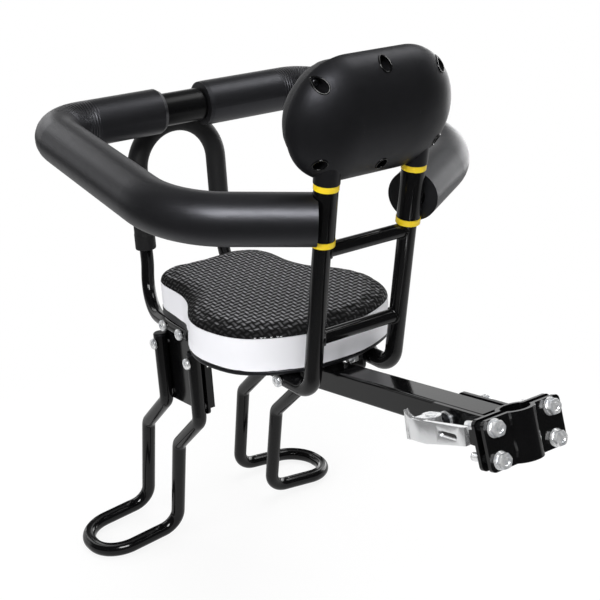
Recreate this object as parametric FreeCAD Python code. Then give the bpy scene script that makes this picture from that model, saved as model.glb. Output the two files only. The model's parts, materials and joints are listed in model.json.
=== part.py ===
# Child bicycle seat: a padded saddle seat on a clamp-on beam, with a hinged guard ring,
# a headrest on two posts, a front hand loop and two footrests.
# Units are millimetres. X is the child's right, Y the way the child faces, Z up.
# The origin is the middle of the clamp's bore, on the axis of the bicycle post it grips.
import FreeCAD
import Part
import math
import os

Vec = FreeCAD.Vector
Rot = FreeCAD.Rotation
Place = FreeCAD.Placement
X_AXIS = Vec(1, 0, 0)
Y_AXIS = Vec(0, 1, 0)
Z_AXIS = Vec(0, 0, 1)

# General fits
slip = 0.3                  # gap between pieces that touch or turn on each other
hole_slack = 0.6            # added to a screw's diameter for its hole

# Clamp on the bicycle post
bike_post_d = 27.2          # post that the jaws grip
clamp_lean = 16.0           # degrees, top of the clamp axis towards the seat
jaw_t = 4.0                 # jaw plate thickness
jaw_h = 46.0                # jaw height along the post
jaw_w = 90.0                # jaw width across the post
jaw_gap = 8.0               # gap between the two jaws' wings
jaw_corner = 5.0
clamp_bolt_d = 8.0
clamp_bolt_x = 33.0         # bolt spacing from the middle, across
clamp_bolt_z = 14.5         # and along the post
clamp_bolt_l = 36.0
clamp_flange_d = 17.0
clamp_hex = 13.0
clamp_head_h = 7.0
clamp_flange_h = 2.0
clamp_dish_d = 8.0          # shallow hollow in the top of a bolt's head
clamp_dish = 0.8
clamp_nut_h = 6.5

# Beam and its receiver on the clamp
beam_w = 30.0
beam_h = 26.0
beam_wall = 1.8
beam_corner = 3.0
beam_rise = 8.25            # degrees, the beam climbs towards the clamp
skewer_y = 76.0             # where the quick release crosses the beam
skewer_z = -10.4
beam_back = 44.0            # beam length behind the skewer
beam_front = 428.0          # beam length in front of the skewer
receiver_t = 3.5
receiver_front = 22.0       # receiver arms reach this far in front of the skewer
receiver_above = 0.8        # arms stand this far above the beam

# Quick release
skewer_d = 7.0
washer_d = 18.0
washer_t = 2.0
cup_d = 15.0
cup_t = 5.0
pivot_x = 36.0              # cam pin, out from the middle of the beam
cam_r = 9.7
barrel_d = 10.0
barrel_h = 23.0
lever_t = 5.0
lever_reach = 60.0          # blade length behind the pin
lever_nose = 24.0           # blade length in front of the pin
lever_bow = 15.0            # blade stands this far outside the pin
lever_nose_h = 28.0
lever_mid_h = 21.0
lever_tail_h = 17.0
lever_tail_lift = 6.0       # tail's middle above the pin's middle
lever_open = 58.0           # degrees of swing
lever_slot_l = 18.0         # between the ends' middles
lever_slot_h = 6.0
qr_nut_d = 20.0
qr_nut_h = 11.0

# Seat
seat_back_y = 268.0         # rearmost point of the cushion
seat_len = 285.0
seat_half_w = 113.0         # half width over the hips
seat_waist = 76.0           # half width between the thighs
cushion_top = 21.0          # height of the seam between cover and side band
cushion_bottom = -10.0
cover_rise = 8.0
cover_round = 7.4
pan_t = 5.7
pan_screw_d = 6.0
pan_screw_head = 11.0
pan_screw_head_h = 3.4
pan_screw_x = 28.0          # half spacing of the screws into the pan

# Backrest posts, hinge sleeves and rungs
post_d = 18.6
post_wall = 1.5
post_x = 52.1               # half the spacing of the posts
post_recline = 11.5         # degrees
hinge_y = 207.1             # middle of the hinge sleeves
hinge_z = 166.2
sleeve_d = 24.0
hinge_pitch = 58.0          # between the two nylon rings on a post
nylon_h = 6.0
nylon_d = 25.0
rung_d = 15.0
lower_rung_drop = 138.3     # below the middle of the sleeves, along the posts
post_foot_z = -31.5         # height of the posts' forward-turned feet
post_foot_bend = 25.0
post_foot_end = 306.0
post_bolt_y = 295.0
post_bolt_d = 8.0
post_bolt_head = 13.5
post_bolt_head_h = 4.5
bolt_tail = 4.0             # thread that stands out past a nut
post_top = 92.0             # above the middle of the sleeves, along the posts

# Guard ring, in a plane through the hinges
ring_rise = 8.9             # degrees, climbs towards the front
ring_drop = 6.0             # tubes meet the sleeves this far below their middle
ring_half_w = 176.0         # to the middle of the tube
ring_depth = 353.0          # hinge line to the front tube
ring_splay = 31.0           # degrees, how far forward of sideways the tubes leave the sleeves
ring_hip_bend = 95.0
ring_front_bend = 41.0
rail_d = 25.0
rail_wall = 1.3
foam_d = 52.0
foam_taper = 5.0            # length of the rounded ends by the coupler
foam_end_d = 46.0
foam_overlap = 5.0          # foam runs this far past the sleeve's near side
coupler_d = 38.0
coupler_left = -46.0        # coupler ends, across the seat
coupler_right = 17.0
coupler_bore = 27.6         # loose on the right tube, so that the halves part
plug_depth = 18.0           # how deep the right tube sits in the coupler
left_foam_end = -36.0
right_foam_end = 19.0

# Headrest, in the plane of the posts
head_half_w = 93.0
head_half_h = 60.5
head_mid = 88.2             # above the middle of the sleeves
head_rim = 12.0             # rim plane in front of the posts
head_depth = 36.0           # dome behind the rim plane
head_wall = 3.0
board_t = 3.0
board_inset = 2.0
pad_t = 18.0
pad_inset = 5.0
pad_round = 9.0
collar_d = 26.0
head_screw_x = 68.0
head_screw_up = 41.0        # side screws above and below the middle of the shell
head_screw_down = 32.0
head_mid_up = 52.0          # and the two screws on the middle line
head_mid_down = 42.0
head_screw_d = 4.0
head_screw_head = 7.0
head_screw_head_h = 2.6
pocket_d = 11.0
boss_d = 15.0
boss_floor = 4.5            # plastic left between a pocket and the board

# Front hand loop
handle_d = 16.0
handle_wall = 1.5
handle_y = 595.0
handle_half_w = 54.0
handle_top = 192.0
handle_foot_x = 71.4        # half spacing of the feet
handle_foot_z = -29.0
handle_foot_start = 522.0    # from here the feet run straight back
handle_foot_end = 464.0
handle_knee_x = 62.0        # half spacing, depth and height of the bend above the feet
handle_knee_y = 591.0
handle_knee_z = -33.0
handle_bend = 46.0
grip_d = 24.5
grip_end_d = 25.4
grip_end_l = 20.0
grip_end_z = 43.0           # lower end of the grip

# Footrests and their brackets
rod_d = 17.0                # footrest tube
rod_wall = 1.5
cap_dome = 3.0
cap_stub = 5.0
bracket_t = 3.0
bracket_back = 454.0
bracket_front = 552.0
bracket_bottom = -129.0     # at the back; the lower edge falls towards the front
bracket_fall = 9.0
bracket_shoulder = -46.0
neck_back = 466.0
neck_front = 532.0
flange_w = 9.0
flange_top = -70.0          # flanges stop below the nuts
flange_rise = 8.0           # and start above the plate's rounded corners
prong_front_y = 544.0
prong_pitch = 82.0          # front prong to rear prong
prong_top = -51.0
prong_bend_z = -137.0
jog_y = 61.0                # forward step of the prongs
jog_z = 53.0                # drop over that step
tread_y = 28.0              # further step down to the tread
tread_z = -315.0
tread_out = 174.0           # outer end of the tread loop
tread_drop = 11.0
prong_bend = 17.0
tread_bend = 24.0
tread_round = 38.0
tread_groove_d = 13.0       # the tread is pressed in along its top
tread_groove = 3.2
tread_groove_from = 33.0     # its ends, from the corners of the tread
prong_bolt_z = -61.0
handle_bolt_front = 516.0
handle_bolt_back = 477.0
foot_bolt_d = 6.0
foot_bolt_head = 13.5
foot_bolt_head_h = 4.0
foot_nut = 10.0
foot_nut_h = 5.0
slot_w = 4.5
slot_l = 8.0
slot_front_y = 539.0        # the two slots near the bracket's lower corners
slot_back_y = 460.0
slot_rise = 9.0             # above the lower edge

# Cross members under the seat
cross_t = 4.0
rear_cross_back = 281.0
rear_cross_front = 317.0
ear_drop = 14.0             # ear below the post's foot axis
cross_half_w = 58.0
pedestal_front = 500.0
pedestal_wall = 3.0

nodes = {}


def placed(shape, place):
    """A copy of the shape moved by the placement."""
    copy = shape.copy()
    copy.Placement = place.multiply(copy.Placement)
    return copy


def aimed(shape, direction, point):
    """A copy of the shape with its Z axis turned to the direction, moved to the point."""
    return placed(shape, Place(point, Rot(Z_AXIS, direction)))


def mirrored(shape):
    """The other side's twin of a shape."""
    return shape.mirror(Vec(0, 0, 0), X_AXIS)


def group(shapes):
    return Part.makeCompound(shapes)


def box(x0, x1, y0, y1, z0, z1):
    return Part.makeBox(x1 - x0, y1 - y0, z1 - z0, Vec(x0, y0, z0))


def bar(radius, start, end):
    """A round bar between two points."""
    return Part.makeCylinder(radius, (end - start).Length, start, end - start)


def ring(outer_d, inner_d, height):
    """A washer or sleeve standing on the XY plane."""
    return Part.makeCylinder(outer_d / 2, height).cut(Part.makeCylinder(inner_d / 2, height))


def hexagon(across_flats, height):
    """A hexagonal prism standing on the XY plane."""
    radius = across_flats / math.sqrt(3)
    corners = [Vec(radius * math.cos(math.radians(60 * i)), radius * math.sin(math.radians(60 * i)), 0)
               for i in range(7)]
    return Part.Face(Part.makePolygon(corners)).extrude(Vec(0, 0, height))


def prism(points, sweep):
    """A straight-sided solid from a list of corner points."""
    return Part.Face(Part.makePolygon(points + points[:1])).extrude(sweep)


def rounded_path(points, radii):
    """A wire of straight runs whose corners are bent to the given radii."""
    edges = []
    start = points[0]
    for before, corner, after, radius in zip(points, points[1:], points[2:], radii):
        back = (before - corner).normalize()
        ahead = (after - corner).normalize()
        half = back.getAngle(ahead) / 2
        reach = radius / math.tan(half)
        inward = (back + ahead).normalize()
        middle = corner + inward * (radius / math.sin(half) - radius)
        first = corner + back * reach
        last = corner + ahead * reach
        if (first - start).Length > 0.01:
            edges.append(Part.makeLine(start, first))
        edges.append(Part.Arc(first, middle, last).toShape())
        start = last
    edges.append(Part.makeLine(start, points[-1]))
    return Part.Wire(edges)


def rod_along(path, diameter):
    """A round rod swept along a wire."""
    first = path.Edges[0]
    start = first.valueAt(first.FirstParameter)
    along = first.tangentAt(first.FirstParameter)
    profile = Part.Wire(Part.makeCircle(diameter / 2, start, along))
    return path.makePipeShell([profile], True, False)


def tube_along(path, outer_d, inner_d):
    return rod_along(path, outer_d).cut(rod_along(path, inner_d))


def bolt(diameter, length, head):
    """A bolt with its head below the XY plane and its shank along +Z."""
    return head.fuse(Part.makeCylinder(diameter / 2, length)).removeSplitter()


def flange_head(hex_size, head_h, flange_d, flange_h):
    flange = Part.makeCone(flange_d / 2 - 1, flange_d / 2, flange_h, Vec(0, 0, -flange_h))
    crown = chamfered(hexagon(hex_size, head_h), hex_size, head_h)
    crown = crown.cut(Part.makeCone(clamp_dish_d / 2 - clamp_dish, clamp_dish_d / 2, clamp_dish,
                                    Vec(0, 0, head_h - clamp_dish)))
    return flange.fuse(aimed(crown, Z_AXIS * -1, Vec(0, 0, 0)))


def chamfered(shape, hex_size, height):
    """Takes the upper corners off a hexagonal prism at 30 degrees."""
    spread = height / math.tan(math.radians(30))
    return shape.common(Part.makeCone(hex_size / 2 + spread, hex_size / 2, height))


def pan_head(head_d, head_h):
    """A domed head with a cross recess, below the XY plane."""
    head = Part.makeCylinder(head_d / 2, head_h, Vec(0, 0, -head_h))
    head = head.makeFillet(head_h * 0.6, [head.Edges[2]])
    arm = head_d / 4
    half = arm / 4
    deep = head_h * 0.6
    cross = box(-arm, arm, -half, half, -head_h, deep - head_h)
    return head.cut(cross.fuse(box(-half, half, -arm, arm, -head_h, deep - head_h)))


def nut(hex_size, bore, height):
    return chamfered(hexagon(hex_size, height), hex_size, height).cut(Part.makeCylinder(bore / 2, height))


# Frames of the tilted groups
clamp_frame = Place(Vec(0, 0, 0), Rot(X_AXIS, -clamp_lean))
beam_frame = Place(Vec(0, skewer_y, skewer_z), Rot(X_AXIS, -beam_rise))
post_frame = Place(Vec(0, hinge_y, hinge_z), Rot(X_AXIS, post_recline))
ring_frame = Place(post_frame.multVec(Vec(0, 0, -ring_drop)), Rot(X_AXIS, ring_rise))


def make_clamp():
    """Two pressed jaws; the inner one carries the receiver that holds the beam."""
    bore_r = bike_post_d / 2
    outer_r = bore_r + jaw_t
    half_h = jaw_h / 2
    near = jaw_gap / 2
    wings = box(-jaw_w / 2, jaw_w / 2, near, near + jaw_t, -half_h, half_h)
    upright = [edge for edge in wings.Edges
               if abs(abs(edge.CenterOfMass.x) - jaw_w / 2) < 0.01 and abs(edge.tangentAt(0).y) > 0.9]
    wings = wings.makeFillet(jaw_corner, upright)
    bulge = Part.makeCylinder(outer_r, jaw_h, Vec(0, 0, -half_h))
    bulge = bulge.common(box(-jaw_w, jaw_w, near, jaw_w, -half_h, half_h))
    bore = Part.makeCylinder(bore_r, jaw_h, Vec(0, 0, -half_h))
    jaw = wings.fuse(bulge).cut(bore)
    for x in (-clamp_bolt_x, clamp_bolt_x):
        for z in (-clamp_bolt_z, clamp_bolt_z):
            jaw = jaw.cut(bar((clamp_bolt_d + hole_slack) / 2, Vec(x, 0, z), Vec(x, jaw_w, z)))
    outer_jaw = jaw.mirror(Vec(0, 0, 0), Y_AXIS)

    inside = beam_w / 2 + slip
    outside = inside + receiver_t
    floor = -beam_h / 2 - slip
    back = -skewer_y - jaw_t
    channel = box(-outside, outside, back, receiver_front, floor - receiver_t, beam_h / 2 + receiver_above)
    channel = channel.cut(box(-inside, inside, back, receiver_front, floor, beam_h))
    nose = [edge for edge in channel.Edges
            if abs(edge.CenterOfMass.y - receiver_front) < 0.01 and abs(edge.tangentAt(0).x) > 0.9
            and edge.CenterOfMass.z > 0]
    channel = channel.makeFillet(7, nose)
    channel = channel.cut(bar((skewer_d + hole_slack) / 2, Vec(-jaw_w, 0, 0), Vec(jaw_w, 0, 0)))
    channel = placed(channel, beam_frame)
    room = placed(Part.makeCylinder(bore_r + jaw_t / 2, 4 * jaw_h, Vec(0, 0, -2 * jaw_h)), clamp_frame)
    behind = placed(box(-jaw_w, jaw_w, -jaw_w, near + jaw_t / 2, -jaw_w, jaw_w), clamp_frame)
    channel = channel.cut(room).cut(behind)
    nodes["clamp_bracket"] = placed(jaw, clamp_frame).fuse(channel).removeSplitter()
    nodes["clamp_jaw"] = placed(outer_jaw, clamp_frame)

    head = flange_head(clamp_hex, clamp_head_h, clamp_flange_d, clamp_flange_h)
    screw = bolt(clamp_bolt_d, clamp_bolt_l, head)
    fixing = nut(clamp_hex, clamp_bolt_d + slip, clamp_nut_h)
    face = near + jaw_t
    spots = [(x, z) for x in (-clamp_bolt_x, clamp_bolt_x) for z in (-clamp_bolt_z, clamp_bolt_z)]
    nodes["clamp_bolts"] = group([placed(aimed(screw, Y_AXIS, Vec(x, -face, z)), clamp_frame) for x, z in spots])
    nodes["clamp_nuts"] = group([placed(aimed(fixing, Y_AXIS, Vec(x, face, z)), clamp_frame) for x, z in spots])


def make_beam():
    """The rectangular steel tube from the clamp to the front of the seat."""
    outer = box(-beam_w / 2, beam_w / 2, -beam_back, beam_front, -beam_h / 2, beam_h / 2)
    long_edges = [edge for edge in outer.Edges if edge.Length > beam_front]
    outer = outer.makeFillet(beam_corner, long_edges)
    inner = box(-beam_w / 2 + beam_wall, beam_w / 2 - beam_wall, -beam_back, beam_front,
                -beam_h / 2 + beam_wall, beam_h / 2 - beam_wall)
    tube = outer.cut(inner)
    tube = tube.cut(bar((skewer_d + hole_slack) / 2, Vec(-beam_w, 0, 0), Vec(beam_w, 0, 0)))
    nodes["beam_tube"] = placed(tube, beam_frame)

    plug_x = beam_w / 2 - beam_wall - slip
    plug_z = beam_h / 2 - beam_wall - slip
    cap = box(-beam_w / 2, beam_w / 2, beam_front, beam_front + 3, -beam_h / 2, beam_h / 2)
    stub = box(-plug_x, plug_x, beam_front - 14, beam_front, -plug_z, plug_z)
    nodes["beam_end_plug"] = placed(cap.fuse(stub), beam_frame)


def make_quick_release():
    """Cam lever on a barrel pin, pulling a skewer through the receiver and the beam."""
    arm = beam_w / 2 + slip + receiver_t
    nut_face = arm + washer_t
    skewer = bar(skewer_d / 2, Vec(-pivot_x, 0, 0), Vec(nut_face + qr_nut_h + 3, 0, 0))
    barrel = Part.makeCylinder(barrel_d / 2, barrel_h, Vec(-pivot_x, 0, -barrel_h / 2))
    barrel = barrel.makeChamfer(0.8, [barrel.Edges[0], barrel.Edges[2]])
    hole = bar((skewer_d + slip) / 2, Vec(-pivot_x, 0, 0), Vec(0, 0, 0))
    nodes["qr_skewer"] = placed(skewer.cut(barrel), beam_frame)
    nodes["qr_barrel_pin"] = placed(barrel, beam_frame)

    disc = ring(washer_d, skewer_d + slip, washer_t)
    left_disc = aimed(disc, X_AXIS * -1, Vec(-arm, 0, 0))
    right_disc = aimed(disc, X_AXIS, Vec(arm, 0, 0))
    nodes["qr_washers"] = placed(group([left_disc, right_disc]), beam_frame)
    hollow = Part.makeCylinder(cam_r + slip, barrel_h * 2, Vec(-pivot_x, 0, -barrel_h))
    pad = bar(cup_d / 2, Vec(-arm - washer_t - cup_t, 0, 0), Vec(-arm - washer_t, 0, 0))
    nodes["qr_cam_cup"] = placed(pad.cut(hole).cut(hollow), beam_frame)
    grip_nut = ring(qr_nut_d, skewer_d + slip, qr_nut_h)
    for i in range(12):
        turn = math.radians(30 * i)
        rim = Vec(qr_nut_d / 2 * math.cos(turn), qr_nut_d / 2 * math.sin(turn), 0)
        grip_nut = grip_nut.cut(Part.makeCylinder(1.2, qr_nut_h, rim))
    nodes["qr_nut"] = placed(aimed(grip_nut, X_AXIS, Vec(nut_face, 0, 0)), beam_frame)

    outside = [Vec(-pivot_x - lever_bow + 3, lever_nose, 0), Vec(-pivot_x - lever_bow - 1.5, lever_nose / 2, 0),
               Vec(-pivot_x - lever_bow, -lever_reach * 0.25, 0), Vec(-pivot_x - lever_bow + 2, -lever_reach * 0.6, 0),
               Vec(-pivot_x - lever_bow + 3, -lever_reach, 0)]
    inside = [point + Vec(lever_t, 0, 0) for point in outside]
    outer_edge = Part.BSplineCurve()
    outer_edge.interpolate(outside)
    inner_edge = Part.BSplineCurve()
    inner_edge.interpolate(inside)
    outline = Part.Wire([outer_edge.toShape(), Part.makeLine(outside[-1], inside[-1]),
                         inner_edge.toShape(), Part.makeLine(inside[0], outside[0])])
    tall = lever_nose_h
    blade = Part.Face(outline).extrude(Vec(0, 0, 2 * tall))
    blade.translate(Vec(0, 0, -tall))
    head = Part.makeCylinder(cam_r, 2 * tall, Vec(-pivot_x, 0, -tall))
    neck = box(-pivot_x - lever_bow + lever_t / 2, -pivot_x, -cam_r * 0.8, cam_r * 0.8, -tall, tall)
    far = -pivot_x - 2 * lever_bow
    profile = [(lever_nose, lever_nose_h / 2), (cam_r, lever_mid_h / 2), (-cam_r, lever_mid_h / 2),
               (-lever_reach, lever_tail_lift + lever_tail_h / 2), (-lever_reach, lever_tail_lift - lever_tail_h / 2),
               (-cam_r, -lever_mid_h / 2), (cam_r, -lever_mid_h / 2), (lever_nose, -lever_nose_h / 2)]
    side = [Vec(far, y, z) for y, z in profile]
    lever = blade.fuse(head).fuse(neck).common(prism(side, Vec(-far, 0, 0)))
    lever = lever.cut(Part.makeCylinder((barrel_d + slip) / 2, 4 * tall, Vec(-pivot_x, 0, -2 * tall)))
    gap = skewer_d / 2 + slip
    margin = math.degrees(math.asin(gap / (barrel_d / 2)))
    sweep = Part.makeCylinder(2 * cam_r, 2 * gap, Vec(0, 0, -gap), Z_AXIS, lever_open + 2 * margin)
    sweep.rotate(Vec(0, 0, 0), Z_AXIS, -margin)
    sweep.translate(Vec(-pivot_x, 0, 0))
    lever = lever.cut(sweep)
    slot_y = -lever_reach * 0.62
    slot_z = lever_tail_lift / 2
    ends = (slot_y - lever_slot_l / 2, slot_y + lever_slot_l / 2)
    slot = box(far, -pivot_x, ends[0], ends[1], slot_z - lever_slot_h / 2, slot_z + lever_slot_h / 2)
    for y in ends:
        slot = slot.fuse(bar(lever_slot_h / 2, Vec(far, y, slot_z), Vec(-pivot_x, y, slot_z)))
    nodes["qr_lever"] = placed(lever.cut(slot).removeSplitter(), beam_frame)


def seat_outline(inset, height):
    """The saddle-shaped outline, drawn in from the cushion's edge by the inset."""
    share = [(0.0, 0.0), (0.29, 0.010), (0.57, 0.052), (0.80, 0.116), (0.91, 0.180), (0.975, 0.263),
             (1.0, 0.352)]
    half = [Vec(seat_half_w * a, seat_back_y + seat_len * b, height) for a, b in share]
    thigh = [(0.80, 0.467), (0.27, 0.597), (0.03, 0.72), (0.0, 0.825), (-0.09, 0.93), (-0.31, 0.983)]
    half += [Vec(seat_waist + (seat_half_w - seat_waist) * a if a >= 0 else seat_waist * (1 + a),
                 seat_back_y + seat_len * b, height) for a, b in thigh]
    half.append(Vec(0, seat_back_y + seat_len, height))
    loop = half + [Vec(-p.x, p.y, height) for p in half[-2:0:-1]]
    drawn = []
    for i, point in enumerate(loop):
        along = loop[(i + 1) % len(loop)] - loop[i - 1]
        inward = Vec(-along.y, along.x, 0).normalize()
        drawn.append(point + inward * inset)
    curve = Part.BSplineCurve()
    curve.interpolate(drawn, PeriodicFlag=True)
    return Part.Face(Part.Wire(curve.toShape()))


def make_seat():
    """Moulded pan, white-sided cushion and woven top cover."""
    cushion = seat_outline(0, cushion_bottom).extrude(Vec(0, 0, cushion_top - cushion_bottom))
    cover = seat_outline(0.4, cushion_top + slip).extrude(Vec(0, 0, cover_rise))
    top = [edge for edge in cover.Edges if edge.CenterOfMass.z > cushion_top + cover_rise * 0.9]
    nodes["seat_cushion"] = cushion
    nodes["seat_cover"] = cover.makeFillet(cover_round, top)
    pan_top = cushion_bottom - slip
    pan = seat_outline(-0.6, pan_top - pan_t).extrude(Vec(0, 0, pan_t))
    for x, y in pan_screw_spots():
        pan = pan.cut(bar((pan_screw_d + hole_slack) / 2, Vec(x, y, pan_top - pan_t), Vec(x, y, pan_top)))
    nodes["seat_pan"] = pan


def pan_screw_spots():
    rear_y = (rear_cross_back + rear_cross_front) / 2 + 6
    front_y = (neck_back + neck_front) / 2
    return [(x, y) for x in (-pan_screw_x, pan_screw_x) for y in (rear_y, front_y)]


def beam_top(y):
    """Height of the beam's upper face at a place along the seat."""
    drop = math.tan(math.radians(beam_rise))
    return skewer_z + beam_h / 2 / math.cos(math.radians(beam_rise)) - (y - skewer_y) * drop


def make_cross_members():
    """Two cross plates between beam and pan; the rear one has ears for the posts."""
    pan_bottom = cushion_bottom - slip - pan_t
    under = pan_bottom - cross_t
    ear_x = post_x - post_d / 2 - slip
    rear = box(-cross_half_w, cross_half_w, rear_cross_back, rear_cross_front, under, pan_bottom)
    for x0, x1 in ((-ear_x, cross_t - ear_x), (ear_x - cross_t, ear_x)):
        ear = box(x0, x1, rear_cross_back, rear_cross_front, post_foot_z - ear_drop, under)
        ear = ear.cut(bar((post_bolt_d + hole_slack) / 2, Vec(x0, post_bolt_y, post_foot_z),
                          Vec(x1, post_bolt_y, post_foot_z)))
        low = [edge for edge in ear.Edges
               if edge.CenterOfMass.z < post_foot_z - ear_drop + 0.1 and abs(edge.tangentAt(0).x) > 0.9]
        rear = rear.fuse(ear.makeFillet(8, low))
    rear = rear.fuse(pedestal(rear_cross_back, rear_cross_front, under))
    bracket_x = handle_foot_x - handle_d / 2 - bracket_t - 2 * slip
    front = box(-bracket_x, bracket_x, neck_back, neck_front, under, pan_bottom)
    front = front.fuse(pedestal(neck_back, pedestal_front, under))
    for x, y in pan_screw_spots():
        hole = bar(pan_screw_d / 2, Vec(x, y, under), Vec(x, y, pan_bottom))
        rear = rear.cut(hole)
        front = front.cut(hole)
    nodes["rear_crossmember"] = rear.removeSplitter()
    nodes["front_crossmember"] = front.removeSplitter()

    screw = bolt(pan_screw_d - slip, cross_t + pan_t - slip, pan_head(pan_screw_head, pan_screw_head_h))
    nodes["pan_screws"] = group([aimed(screw, Z_AXIS, Vec(x, y, under)) for x, y in pan_screw_spots()])


def pedestal(back, front, top):
    """Two welded cheeks that stand on the sloping beam and carry a cross plate."""
    cheeks = []
    for x in (-beam_w / 2 + beam_corner, beam_w / 2 - beam_corner - pedestal_wall):
        cheeks.append(prism([Vec(x, back, beam_top(back)), Vec(x, front, beam_top(front)),
                             Vec(x, front, top), Vec(x, back, top)], Vec(pedestal_wall, 0, 0)))
    return cheeks[0].fuse(cheeks[1])


def make_backrest_frame():
    """Two posts with forward-turned feet, joined by two rungs, bolted to the rear cross plate."""
    lean = math.tan(math.radians(post_recline))
    foot_y = hinge_y + (hinge_z - post_foot_z) * lean
    top = post_frame.multVec(Vec(0, 0, post_top))
    path = rounded_path([Vec(post_x, top.y, top.z), Vec(post_x, foot_y, post_foot_z),
                         Vec(post_x, post_foot_end, post_foot_z)], [post_foot_bend])
    post = tube_along(path, post_d, post_d - 2 * post_wall)
    post = post.cut(bar((post_bolt_d + hole_slack) / 2, Vec(0, post_bolt_y, post_foot_z),
                        Vec(2 * post_x, post_bolt_y, post_foot_z)))
    nodes["right_post"] = post
    nodes["left_post"] = mirrored(post)

    saddle = group([rod_along(path, post_d + 2 * slip), mirrored(rod_along(path, post_d + 2 * slip))])
    upper_drop = (hinge_pitch + nylon_h + rung_d) / 2 + slip
    for name, drop in (("upper_rung", upper_drop), ("lower_rung", lower_rung_drop)):
        rung = bar(rung_d / 2, Vec(-post_x, 0, -drop), Vec(post_x, 0, -drop))
        nodes[name] = placed(rung, post_frame).cut(saddle)

    washer = ring(nylon_d, post_d + slip, nylon_h)
    spots = [Vec(x, 0, z - nylon_h / 2) for x in (-post_x, post_x) for z in (-hinge_pitch / 2, hinge_pitch / 2)]
    nodes["nylon_washers"] = group([placed(aimed(washer, Z_AXIS, spot), post_frame) for spot in spots])

    ear_inner = post_x - post_d / 2 - slip - cross_t
    grip = post_x + post_d / 2 - ear_inner + slip
    long_bolt = bolt(post_bolt_d, grip + slip + clamp_nut_h + bolt_tail, pan_head(post_bolt_head, post_bolt_head_h))
    right_bolt = aimed(long_bolt, X_AXIS * -1, Vec(post_x + post_d / 2 + slip, post_bolt_y, post_foot_z))
    fixing = nut(clamp_hex, post_bolt_d + slip, clamp_nut_h)
    right_nut = aimed(fixing, X_AXIS * -1, Vec(ear_inner - slip, post_bolt_y, post_foot_z))
    nodes["post_bolts"] = group([right_bolt, mirrored(right_bolt)])
    nodes["post_nuts"] = group([right_nut, mirrored(right_nut)])


def rail_path(start_gap, end_x):
    """Middle line of the left half of the guard, from its sleeve to a place on the front run."""
    out = Vec(-math.cos(math.radians(ring_splay)), math.sin(math.radians(ring_splay)), 0)
    hinge = Vec(-post_x, 0, 0)
    hip = hinge + out * ((ring_half_w - post_x) / math.cos(math.radians(ring_splay)))
    return rounded_path([hinge + out * start_gap, hip, Vec(-ring_half_w, ring_depth, 0), Vec(end_x, ring_depth, 0)],
                        [ring_hip_bend, ring_front_bend])


def make_guard():
    """Two swinging halves: a sleeve on each post, a bent tube and its foam, and the front coupler."""
    sleeve_h = hinge_pitch - nylon_h - 2 * slip
    sleeve = ring(sleeve_d, post_d + slip, sleeve_h)
    sleeve = placed(aimed(sleeve, Z_AXIS, Vec(-post_x, 0, -sleeve_h / 2)), post_frame)
    around = placed(Part.makeCylinder(sleeve_d / 2 + slip, 2 * sleeve_h, Vec(-post_x, 0, -sleeve_h)), post_frame)
    foam_room = placed(Part.makeCylinder(nylon_d / 2 + slip, 2 * sleeve_h, Vec(-post_x, 0, -sleeve_h)), post_frame)
    foam_start = sleeve_d / 2 - foam_overlap
    bore = rail_d + 2 * slip

    left_path = rail_path(sleeve_d / 4, coupler_right - plug_depth - 4)
    left_rail = placed(tube_along(left_path, rail_d, rail_d - 2 * rail_wall), ring_frame).cut(around)
    right_path = rail_path(sleeve_d / 4, plug_depth - coupler_right)
    right_rail = placed(tube_along(right_path, rail_d, rail_d - 2 * rail_wall), ring_frame).cut(around)
    nodes["left_hinge_sleeve"] = sleeve
    nodes["right_hinge_sleeve"] = mirrored(sleeve)
    nodes["left_rail_tube"] = left_rail
    nodes["right_rail_tube"] = mirrored(right_rail)

    left_foam = foam_cover(rail_path(foam_start, left_foam_end), left_foam_end, foam_end_d, bore)
    right_foam = foam_cover(rail_path(foam_start, -right_foam_end), -right_foam_end, foam_d - 1, bore)
    nodes["left_rail_foam"] = placed(left_foam, ring_frame).cut(foam_room)
    nodes["right_rail_foam"] = mirrored(placed(right_foam, ring_frame).cut(foam_room))

    body = bar(coupler_d / 2, Vec(coupler_left, ring_depth, 0), Vec(coupler_right, ring_depth, 0))
    rims = [edge for edge in body.Edges if abs(edge.CenterOfMass.x - coupler_right) < 0.01 and edge.Length > 10]
    body = body.makeFillet(1.5, rims[:1])
    seat = bar(rail_d / 2 + slip / 2, Vec(coupler_left, ring_depth, 0), Vec(coupler_right, ring_depth, 0))
    mouth = bar(coupler_bore / 2, Vec(coupler_right - plug_depth - 2, ring_depth, 0), Vec(coupler_right, ring_depth, 0))
    coupler = body.cut(seat).cut(mouth)
    pocket = bar(coupler_d / 2 + slip, Vec(coupler_left - slip, ring_depth, 0), Vec(left_foam_end + slip, ring_depth, 0))
    nodes["left_rail_foam"] = nodes["left_rail_foam"].cut(placed(pocket, ring_frame))
    nodes["rail_coupler"] = placed(coupler, ring_frame)


def foam_cover(path, end_x, end_d, bore):
    """A foam sleeve on the left rail path, with its front end rounded down."""
    body = rod_along(path, foam_d)
    taper = Part.makeCone(foam_d / 2, end_d / 2, foam_taper, Vec(end_x - foam_taper, ring_depth, 0), X_AXIS)
    block = box(end_x - foam_taper, end_x + 1, ring_depth - foam_d, ring_depth + foam_d, -foam_d, foam_d)
    body = body.cut(block).fuse(taper).removeSplitter()
    return body.cut(rod_along(path, bore)).cut(bar(bore / 2, Vec(end_x - 2 * foam_taper, ring_depth, 0),
                                                   Vec(end_x + 1, ring_depth, 0)))


def stadium(half_w, half_h, y, thickness):
    """A flat plate with round ends in the plane of the headrest, from y forwards."""
    straight = half_w - half_h
    plate = box(-straight, straight, y, y + thickness, -half_h, half_h)
    for x in (-straight, straight):
        plate = plate.fuse(bar(half_h, Vec(x, y, 0), Vec(x, y + thickness, 0)))
    return plate.removeSplitter()


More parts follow.
